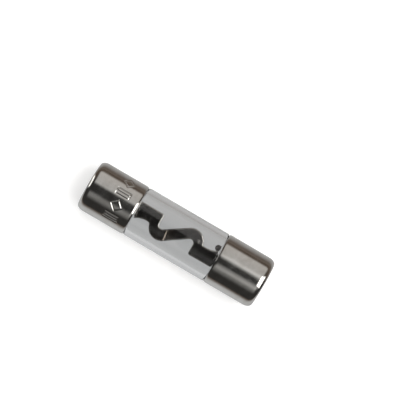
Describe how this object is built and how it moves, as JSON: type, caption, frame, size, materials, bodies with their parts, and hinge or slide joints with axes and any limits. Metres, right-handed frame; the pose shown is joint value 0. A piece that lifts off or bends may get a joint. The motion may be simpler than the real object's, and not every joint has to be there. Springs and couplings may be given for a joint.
{
  "type": "cartridge fuse",
  "caption": "Glass cartridge fuse with plated end caps on a necked clear tube and a flat S-shaped strip element inside.",
  "frame": {"origin": "centre of the fuse", "axes": "+X along the fuse towards the unmarked cap, +Z normal to the flat strip element, +Y across the strip in its plane"},
  "size_m": [0.0382, 0.0104, 0.0104],
  "materials": {
    "clear_glass": "polished",
    "nickel_plate": "gloss",
    "element_alloy": "satin",
    "cement": "matte",
    "solder": "satin",
    "dark_solder": "satin"
  },
  "bodies": {
    "root": {"glass_tube": "clear_glass", "left_cap": "nickel_plate", "right_cap": "nickel_plate", "fuse_element": "element_alloy", "left_cement": "cement", "right_cement": "cement", "left_solder": "solder", "right_solder": "solder", "solder_bead": "dark_solder"}
  },
  "joints": []
}
